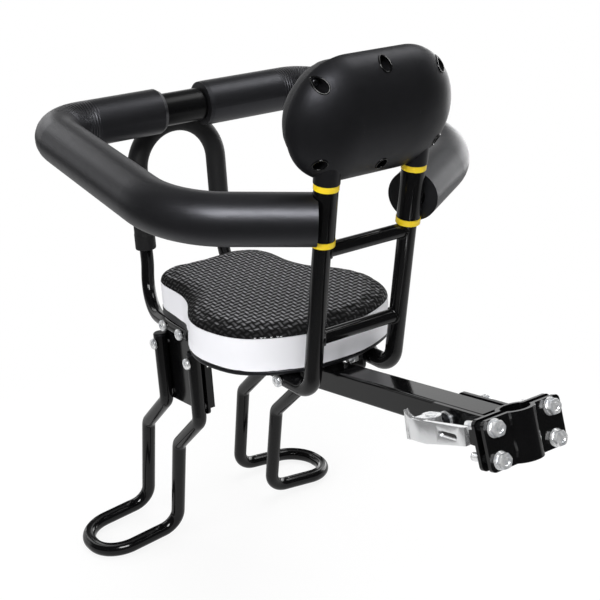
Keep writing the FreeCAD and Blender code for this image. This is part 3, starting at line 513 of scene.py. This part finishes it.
# %% [markdown]
# A soft or rounded piece starts as a copy of its CAD solid, so that it has the right size and place from
# the start. The copy loses the marks of a CAD node, and its doubled corners are merged.

# %% Helpers that copy a CAD node

merge_gap = 0.00002


def pick(piece):
    """Makes a piece the only one selected, and the active one."""
    bpy.ops.object.select_all(action="DESELECT")
    piece.select_set(True)
    bpy.context.view_layer.objects.active = piece


def edit_all(operator, **settings):
    """Runs a mesh operator on the whole of the active piece."""
    bpy.ops.object.mode_set(mode="EDIT")
    bpy.ops.mesh.select_all(action="SELECT")
    operator(**settings)
    bpy.ops.object.mode_set(mode="OBJECT")


def copy_of(node, name):
    """A free copy of a CAD node."""
    source = cad_nodes[node]
    source.hide_set(False)
    pick(source)
    bpy.ops.object.duplicate()
    piece = bpy.context.object
    piece.name = name
    piece.data.name = name
    piece.parent = None
    for key in list(piece.keys()):
        del piece[key]
    edit_all(bpy.ops.mesh.remove_doubles, threshold=merge_gap)
    return piece


def apply_modifier(piece, kind, **settings):
    bpy.context.view_layer.objects.active = piece
    modifier = piece.modifiers.new(kind.lower(), kind)
    for key, value in settings.items():
        setattr(modifier, key, value)
    bpy.ops.object.modifier_apply(modifier=modifier.name)


def smooth_shade(piece, degrees=None):
    pick(piece)
    if degrees is None:
        bpy.ops.object.shade_smooth()
    else:
        bpy.ops.object.shade_smooth_by_angle(angle=math.radians(degrees))


print("corners merge within", merge_gap)

# %% [markdown]
# A cushion's skin is taut over its foam. It could be sculpted by hand, but the cloth solver gives the same
# swell each run and keeps the seams in place: the remeshed copy is blown up a little, with gravity off and
# its sewn edges held. How far a point may move is capped.

# %% Helpers that fill a cushion

cloth_frames = 20


def hold_points(piece, test):
    """Puts the points that the test picks into a group that the cloth solver holds still."""
    held = piece.vertex_groups.new(name="held")
    held.add([vertex.index for vertex in piece.data.vertices if test(vertex)], 1.0, "REPLACE")


def cap_moves(piece, before, cap):
    for vertex, old in zip(piece.data.vertices, before):
        move = vertex.co - old
        if move.length > cap:
            vertex.co = old + move * (cap / move.length)


def blow_up(piece, pressure, cap):
    """Fills a remeshed piece with air, moving no point further than the cap."""
    before = [vertex.co.copy() for vertex in piece.data.vertices]
    cloth = piece.modifiers.new("cloth", "CLOTH")
    cloth.settings.use_pressure = True
    cloth.settings.uniform_pressure_force = pressure
    cloth.settings.effector_weights.gravity = 0.0
    cloth.settings.tension_stiffness = 12.0
    cloth.settings.bending_stiffness = 0.6
    if "held" in piece.vertex_groups:
        cloth.settings.vertex_group_mass = "held"
    cloth.point_cache.frame_start = 1
    cloth.point_cache.frame_end = cloth_frames
    for step in range(1, cloth_frames + 1):
        scene.frame_set(step)
    bpy.context.view_layer.objects.active = piece
    bpy.ops.object.modifier_apply(modifier=cloth.name)
    cap_moves(piece, before, cap)
    scene.frame_set(1)


print("cloth frames", cloth_frames)

# %% [markdown]
# The side band is stretched vinyl, so it swells only a little between its two edges, which stay where they
# are. At the back its lower edge is drawn down over the pan. A sharp remesh keeps the edges crisp, and a
# crease keeps them so when the band is subdivided.

# %% Side band of the cushion

skirt_drop = 0.0042
skirt_out = 0.0022
skirt_rise = 5.0
skirt_front_y = 0.50
skirt_back_y = 0.29
edge_band = 0.001
side_facing = 0.2
flat_facing = 0.4
sharp_remesh = {"mode": "SHARP", "scale": 0.9, "use_remove_disconnected": False}


def pull_skirt(piece):
    """Draws the lower edge down over the pan, more towards the back."""
    foot = min(vertex.co.z for vertex in piece.data.vertices)
    for vertex in piece.data.vertices:
        if vertex.co.z > foot + edge_band:
            continue
        share = (skirt_front_y - vertex.co.y) / (skirt_front_y - skirt_back_y)
        share = min(max(share, 0.0), 1.0)
        outward = Vector((vertex.normal.x, vertex.normal.y, 0.0))
        if outward.length > side_facing:
            vertex.co += outward.normalized() * skirt_out * min(1.0, skirt_rise * share)
        vertex.co.z -= skirt_drop * share


def crease_corners(piece, degrees, weight):
    """Gives the sharp edges a crease, so that a subdivision keeps them."""
    pick(piece)
    bpy.ops.object.mode_set(mode="EDIT")
    bpy.ops.mesh.select_mode(type="EDGE")
    bpy.ops.mesh.select_all(action="DESELECT")
    bpy.ops.mesh.edges_select_sharp(sharpness=math.radians(degrees))
    bpy.ops.transform.edge_crease(value=weight)
    bpy.ops.object.mode_set(mode="OBJECT")


cushion_band = copy_of("seat_cushion", "cushion_band")
pull_skirt(cushion_band)
apply_modifier(cushion_band, "REMESH", octree_depth=6, **sharp_remesh)
hold_points(cushion_band, lambda vertex: abs(vertex.normal.z) > flat_facing)
crease_corners(cushion_band, degrees=35, weight=0.75)
blow_up(cushion_band, pressure=1.5, cap=0.0012)
apply_modifier(cushion_band, "SUBSURF", levels=1, render_levels=1)
smooth_shade(cushion_band, degrees=40)
wear(cushion_band, white_vinyl)
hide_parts("seat_cushion")
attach(cushion_band, "frame")
print("band faces", len(cushion_band.data.polygons))

# %% [markdown]
# The cover lies over the band, sewn down at its lower edge, and is crowned by the foam. Only that edge is
# held, and a light smoothing after the solver takes out the remesh's steps.

# %% Woven cover of the cushion

cushion_cover = copy_of("seat_cover", "cushion_cover")
cover_foot_z = min(vertex.co.z for vertex in cushion_cover.data.vertices)
apply_modifier(cushion_cover, "REMESH", octree_depth=7, **sharp_remesh)
hold_points(cushion_cover, lambda vertex: vertex.co.z < cover_foot_z + edge_band)
blow_up(cushion_cover, pressure=4.0, cap=0.0025)
apply_modifier(cushion_cover, "SMOOTH", factor=0.5, iterations=2, vertex_group="held",
               invert_vertex_group=True)
smooth_shade(cushion_cover, degrees=50)
wear(cushion_cover, woven_cover)
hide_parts("seat_cover")
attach(cushion_cover, "frame")
print("cover faces", len(cushion_cover.data.polygons))

# %% [markdown]
# At the back corner a few stitches of the seam show as white thread between cover and band. Rays from the
# middle of the seat find the cover's lower edge, and each stitch lies along it, so the seam needs no
# measured places. A stitch is a ball drawn out along the seam, bowed outward and sunk in its middle.

# %% Stitches

seat_x = 0.0
seat_y = 0.40
stitch_count = 6
stitch_first = 230.5
stitch_step = 2.4
stitch_jitter = 0.5
jitter_turn = 2.1
stitch_height = 0.0012
stitch_half = 0.0010
stitch_uneven = 0.0003
uneven_turn = 900
stitch_thick = 0.0005
stitch_wide = 0.00065
stitch_bow = 0.0005
stitch_sink = 0.0004
seam_probe = 0.01


def from_seat_middle(piece, z, bearing):
    """Where a level ray from the seat's middle meets a piece, and the ray's direction."""
    outward = Vector((math.cos(bearing), math.sin(bearing), 0.0))
    return piece.ray_cast(Vector((seat_x, seat_y, z)), outward)[1], outward


def edge_point(bearing):
    return from_seat_middle(cushion_cover, cover_foot_z + stitch_height, bearing)[0]


def make_stitch(number):
    jitter = stitch_jitter * math.sin(jitter_turn * number)
    bearing = math.radians(stitch_first + stitch_step * number + jitter)
    point = edge_point(bearing)
    reach = stitch_half + stitch_uneven * math.sin(uneven_turn * bearing)
    along = (edge_point(bearing + seam_probe) - edge_point(bearing - seam_probe)).normalized()
    out = Vector((along.y, -along.x, 0.0))
    bpy.ops.object.select_all(action="DESELECT")
    bpy.ops.mesh.primitive_uv_sphere_add(segments=16, ring_count=10, radius=1.0)
    stitch = bpy.context.object
    for vertex in stitch.data.vertices:
        middle = 1.0 - vertex.co.x ** 2
        side = vertex.co.y * stitch_wide + stitch_bow * middle
        lift = vertex.co.z * stitch_thick - stitch_sink * middle
        vertex.co = point + along * vertex.co.x * reach + out * side + Vector((0.0, 0.0, lift))
    return stitch


def join_pieces(pieces, name):
    bpy.ops.object.select_all(action="DESELECT")
    for piece in pieces:
        piece.select_set(True)
    bpy.context.view_layer.objects.active = pieces[0]
    bpy.ops.object.join()
    joined = bpy.context.object
    joined.name = name
    return joined


def make_thread():
    thread = start_finish("thread_white", (0.75, 0.75, 0.77), 0.6)
    mottle(thread, scale=800.0, detail=2.0, dark=(0.62, 0.62, 0.64), light=(0.84, 0.84, 0.86))
    grain(thread, scale=2200.0, detail=2.0, strength=0.3, distance=0.0003)
    return thread


seam_stitches = join_pieces([make_stitch(number) for number in range(stitch_count)], "seam_stitches")
smooth_shade(seam_stitches)
wear(seam_stitches, make_thread())
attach(seam_stitches, "frame")
print("stitches", stitch_count)

# %% [markdown]
# A black piping closes the joint between the vinyl and the pan and shows as a dark line under the white
# band. It follows the band's lower edge, found by rays from the middle of the seat. A curve with a round
# bevel makes it in one go, and it is then drawn taller than it is thick.

# %% Piping under the band

piping_z = -0.0172
piping_inset = 0.0012
piping_half = 0.0021
piping_tall = 1.3
piping_steps = 160
band_probe_z = -0.008


def piping_point(step):
    bearing = 2 * math.pi * step / piping_steps
    point, outward = from_seat_middle(cushion_band, band_probe_z, bearing)
    return Vector((point.x, point.y, piping_z)) - outward * piping_inset


def bead(name, loops, half):
    """A round bead along closed loops of points, as a mesh."""
    line = bpy.data.curves.new(name, "CURVE")
    line.dimensions = "3D"
    line.bevel_depth = half
    line.bevel_resolution = 3
    for points in loops:
        spline = line.splines.new("POLY")
        spline.use_cyclic_u = True
        spline.points.add(len(points) - 1)
        for place, point in zip(spline.points, points):
            place.co = (*point, 1.0)
    piece = bpy.data.objects.new(name, line)
    scene.collection.objects.link(piece)
    pick(piece)
    bpy.ops.object.convert(target="MESH")
    return bpy.context.object


pan_piping = bead("pan_piping", [[piping_point(step) for step in range(piping_steps)]], piping_half)
for vertex in pan_piping.data.vertices:
    vertex.co.z = piping_z + (vertex.co.z - piping_z) * piping_tall
smooth_shade(pan_piping)
wear(pan_piping, grained_plastic)
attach(pan_piping, "frame")
print("piping faces", len(pan_piping.data.polygons))

# %% [markdown]
# The screws of the headrest sit in pockets, and each pocket's mouth has a moulded lip that catches the
# light. The lip follows the shell's curve: rays along the pocket's axis find the skin just outside the
# pocket, and a bead runs along the points. The headrest leans back with the posts.

# %% Lips of the headrest's pockets

post_lean = math.radians(11.5)
up_post = Vector((0.0, -math.sin(post_lean), math.cos(post_lean)))
off_post = Vector((0.0, math.cos(post_lean), math.sin(post_lean)))
hinge_middle = Vector((0.0, 0.2071, 0.1662))
head_rise = 0.0882
head_middle = hinge_middle + up_post * head_rise
side_pockets = [(x, z) for x in (-0.068, 0.068) for z in (-0.032, 0.041)]
middle_pockets = [(0.0, -0.042), (0.0, 0.052)]
pocket_spots = side_pockets + middle_pockets
lip_radius = 0.0059
lip_half = 0.0009
lip_steps = 48
ray_back = 0.12


def lip_point(spot, step):
    turn = 2 * math.pi * step / lip_steps
    x = spot[0] + lip_radius * math.cos(turn)
    z = spot[1] + lip_radius * math.sin(turn)
    start = head_middle + Vector((x, 0.0, 0.0)) + up_post * z - off_post * ray_back
    return cad_nodes["headrest_shell"].ray_cast(start, off_post)[1]


lip_loops = [[lip_point(spot, step) for step in range(lip_steps)] for spot in pocket_spots]
pocket_lips = bead("pocket_lips", lip_loops, lip_half)
smooth_shade(pocket_lips)
wear(pocket_lips, powder_coat)
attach(pocket_lips, "frame")
print("pocket lips", len(pocket_spots))

# %% [markdown]
# The front pad of the headrest is a stuffed cloth cushion on a board. It has no sharp seam, so a remesh
# into even voxels suits it, and the solver may round all of it.

# %% Headrest pad

headrest_cushion = copy_of("headrest_pad", "headrest_cushion")
apply_modifier(headrest_cushion, "REMESH", mode="VOXEL", voxel_size=0.004)
apply_modifier(headrest_cushion, "SMOOTH", factor=0.5, iterations=2)
blow_up(headrest_cushion, pressure=4.0, cap=0.005)
apply_modifier(headrest_cushion, "SUBSURF", levels=1, render_levels=1)
smooth_shade(headrest_cushion)
wear(headrest_cushion, plain_cloth)
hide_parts("headrest_pad")
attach(headrest_cushion, "frame")
print("pad faces", len(headrest_cushion.data.polygons))

# %% [markdown]
# The lever is a casting, so its edges are round. The copy's flat faces are cleared of their triangles
# first, so that the bevel only meets real edges.

# %% Cast lever

lever_edge = 0.0009
flat_angle = math.radians(1.5)
edge_angle = math.radians(40)

cast_lever = copy_of("qr_lever", "cast_lever")
edit_all(bpy.ops.mesh.dissolve_limited, angle_limit=flat_angle)
apply_modifier(cast_lever, "BEVEL", width=lever_edge, segments=3, limit_method="ANGLE",
               angle_limit=edge_angle, use_clamp_overlap=True)
smooth_shade(cast_lever, degrees=35)
wear(cast_lever, cast_alloy)
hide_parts("qr_lever")
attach(cast_lever, "lever")
print("lever faces", len(cast_lever.data.polygons))

# %% [markdown]
# The two rungs are welded to the posts. A weld bead is a torus bent into a saddle, so that it follows the
# line where the round rung meets the round post, with a ripple from the welding torch.

# %% Weld beads

post_x = 0.0521
post_radius = 0.0093
rung_radius = 0.0075
weld_radius = 0.0017
ripple_depth = 0.13
ripple_count = 26


def make_weld(rung, side):
    low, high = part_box(rung)
    middle = (Vector(low) + Vector(high)) / 2
    bpy.ops.object.select_all(action="DESELECT")
    bpy.ops.mesh.primitive_torus_add(major_radius=rung_radius, minor_radius=weld_radius,
                                     major_segments=72, minor_segments=12)
    weld = bpy.context.object
    for vertex in weld.data.vertices:
        angle = math.atan2(vertex.co.y, vertex.co.x)
        reach = Vector((vertex.co.x, vertex.co.y)).length - rung_radius
        ripple = 1.0 + ripple_depth * math.sin(ripple_count * angle)
        radius = rung_radius + reach * ripple
        saddle = math.sqrt(post_radius ** 2 - (rung_radius * math.cos(angle)) ** 2)
        across = post_x - saddle - vertex.co.z * ripple
        round_rung = off_post * radius * math.cos(angle) + up_post * radius * math.sin(angle)
        vertex.co = Vector((side * across, middle.y, middle.z)) + round_rung
    return weld


welds = [make_weld(rung, side) for rung in ("upper_rung", "lower_rung") for side in (-1, 1)]
weld_beads = join_pieces(welds, "weld_beads")
edit_all(bpy.ops.mesh.normals_make_consistent, inside=False)
smooth_shade(weld_beads)
wear(weld_beads, powder_coat)
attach(weld_beads, "frame")
print("weld beads", len(welds))

# %% [markdown]
# The floor is a wide pale sheet. To the camera it is white, as in a catalogue picture, but near the seat
# part of that is light it receives, so that it takes the seat's shadow. In reflections the white sheet
# reaches from under the seat to the backdrop on its far side, and fades on the camera's side. That keeps
# the blacks deep and gives the tubes their bright edges.

# %% Floor

white = (1.0, 1.0, 1.0, 1.0)
floor_z = cad_box[0][2] - 0.0005
floor_y = 0.35
floor_size = 60.0
floor_grey = (0.8, 0.8, 0.8, 1.0)
white_middle = (1.5, 1.55, 0.0)
near_floor = 2.4
far_floor = 2.62
shadow_from = 0.5
shadow_to = 0.9
near_glow = 0.86
near_light = (0.16, 0.16, 0.16)
no_light = (0.0, 0.0, 0.0)
mirror_level = 0.56
mirror_fall = 0.48


def empty_tree(owner, output):
    """Clears a shader graph and starts it with an output and a light path."""
    owner.use_nodes = True
    nodes = owner.node_tree.nodes
    nodes.clear()
    return nodes.new(output).inputs["Surface"], nodes.new("ShaderNodeLightPath").outputs


def make_floor_finish():
    sheet = bpy.data.materials.new("studio_floor")
    surface, rays = empty_tree(sheet, "ShaderNodeOutputMaterial")
    mirror = rays["Is Glossy Ray"]
    seen = math_node(sheet, "MAXIMUM", rays["Is Camera Ray"], mirror)
    seen = math_node(sheet, "MAXIMUM", seen, rays["Is Transmission Ray"])
    span = vector_node(sheet, "DISTANCE", {0: object_place(sheet), 1: white_middle})["Value"]
    far = rise(sheet, span, near_floor, far_floor)
    away = vector_node(sheet, "LENGTH", {0: object_place(sheet)})["Value"]
    clear = rise(sheet, away, shadow_from, shadow_to)
    fall = times(sheet, times(sheet, far, mirror), mirror_fall)
    dim = math_node(sheet, "SUBTRACT", spread(sheet, mirror, 1.0, mirror_level), fall)
    level = times(sheet, spread(sheet, clear, near_glow, 1.0), dim)
    plain = add_node(sheet, "ShaderNodeBsdfDiffuse", {"Color": floor_grey})
    soft = add_node(sheet, "ShaderNodeBsdfDiffuse", {"Color": tint(sheet, clear, near_light, no_light)})
    glow = add_node(sheet, "ShaderNodeEmission", {"Color": white, "Strength": level})
    shown = add_node(sheet, "ShaderNodeAddShader", {0: soft.outputs[0], 1: glow.outputs[0]})
    feeds = {0: seen, 1: plain.outputs[0], 2: shown.outputs[0]}
    sheet.node_tree.links.new(add_node(sheet, "ShaderNodeMixShader", feeds).outputs[0], surface)
    return sheet


bpy.ops.object.select_all(action="DESELECT")
bpy.ops.mesh.primitive_plane_add(size=floor_size, location=(0, floor_y, floor_z))
floor = bpy.context.object
floor.name = "studio_floor"
wear(floor, make_floor_finish())
print("floor at", round(floor_z, 4))

# %% [markdown]
# The world is white to the camera and pale grey as a light. In reflections it is a low white wall on the
# far side of the seat, and nearly black elsewhere, as a studio with one backdrop is.

# %% World

backdrop_side = (0.5, 0.86, 0.0)
wall_from = 0.1
wall_full = 0.5
wall_low = 0.28
wall_high = 0.50
above_wall = 0.12
room_light = 0.35
dark_room = 0.06


def make_world():
    world = bpy.data.worlds.new("studio_world")
    surface, rays = empty_tree(world, "ShaderNodeOutputWorld")
    seen = math_node(world, "MAXIMUM", rays["Is Camera Ray"], rays["Is Transmission Ray"])
    plain = spread(world, seen, room_light, 1.0)
    toward = add_node(world, "ShaderNodeTexCoord").outputs["Generated"]
    ahead = vector_node(world, "DOT_PRODUCT", {0: toward, 1: backdrop_side})["Value"]
    height = split(world, toward)["Z"]
    low = spread(world, height, 1.0, above_wall, wall_low, wall_high, smooth=True)
    wall = times(world, rise(world, ahead, wall_from, wall_full), low)
    change = math_node(world, "SUBTRACT", spread(world, wall, dark_room, 1.0), plain)
    strength = math_node(world, "MULTIPLY_ADD", change, rays["Is Glossy Ray"], plain)
    back = add_node(world, "ShaderNodeBackground", {"Color": white, "Strength": strength})
    world.node_tree.links.new(back.outputs[0], surface)
    return world


scene.world = make_world()
tell(scene.world)

# %% [markdown]
# Soft boxes light the seat. The key stands above the camera, and a weak box on the far side edges the
# tubes. Three panels show in gloss only: one at the key draws the long highlight on the guard, one above
# edges the headrest, and one on the right rounds the guard's far bend. A wide box overhead and two fills
# light the white band and the weave without showing in the gloss. Black and white pieces then can be lit
# apart from each other.

# %% Lights

key_aim = (-0.05, 0.25, 0.15)
fill_aim = (0.0, 0.3, 0.1)


def soft_box(name, place, target, width, height, watts, mirrored=True, lit=True):
    """An area lamp: gloss shows it if it is mirrored, and it lights matt surfaces if it is lit."""
    light = bpy.data.lights.new(name, "AREA")
    light.shape = "RECTANGLE"
    light.size = width
    light.size_y = height
    light.energy = watts
    lamp = bpy.data.objects.new(name, light)
    scene.collection.objects.link(lamp)
    lamp.location = place
    lamp.rotation_euler = (Vector(target) - Vector(place)).to_track_quat("-Z", "Y").to_euler()
    lamp.visible_glossy = mirrored
    lamp.visible_diffuse = lit


soft_box("key_box", (-0.87, -1.04, 1.49), key_aim, 1.1, 0.6, watts=17.0)
soft_box("shine_box", (-0.87, -1.04, 1.52), key_aim, 1.1, 0.8, watts=34.0, lit=False)
soft_box("top_panel", (1.1, 0.15, 1.6), (0.0, 0.15, 0.3), 1.0, 0.8, watts=10.0, lit=False)
soft_box("right_panel", (1.7, 1.0, 0.15), (0.15, 0.3, 0.2), 1.2, 0.9, watts=10.0, lit=False)
soft_box("overhead_box", (0.55, 0.2, 1.9), (0.0, 0.35, 0.1), 1.8, 1.2, watts=22.0, mirrored=False)
soft_box("left_fill", (-1.9, 0.1, 0.6), fill_aim, 1.2, 0.9, watts=16.0, mirrored=False)
soft_box("rear_fill", (0.5, -1.9, 0.7), fill_aim, 1.2, 0.9, watts=2.0, mirrored=False)
soft_box("far_box", (-0.35, 2.2, 1.25), (-0.1, 0.4, 0.2), 1.2, 0.55, watts=5.0)
print("lights", len(bpy.data.lights))

# %% [markdown]
# The camera's place, aim and lens were worked out from the photograph, so the render can be laid over it.

# %% Camera

camera_place = Vector((-0.6664, -0.6911, 0.4815))
camera_ahead = Vector((0.5099, 0.7881, -0.3448))
camera_right = Vector((0.8261, -0.5603, -0.0592))
photo_width = 600.0
focal_pixels = 1204.75
sensor = 36.0

camera_data = bpy.data.cameras.new("photo_camera")
camera_data.sensor_width = sensor
camera_data.lens = focal_pixels / photo_width * sensor
camera_data.clip_end = 100.0
camera = bpy.data.objects.new("photo_camera", camera_data)
scene.collection.objects.link(camera)
camera_up = camera_right.cross(camera_ahead).normalized()
turn = Matrix((camera_right, camera_up, -camera_ahead)).transposed()
camera.matrix_world = Matrix.Translation(camera_place) @ turn.to_4x4()
scene.camera = camera
scene.view_settings.view_transform = "Standard"
print("lens", round(camera_data.lens, 2))
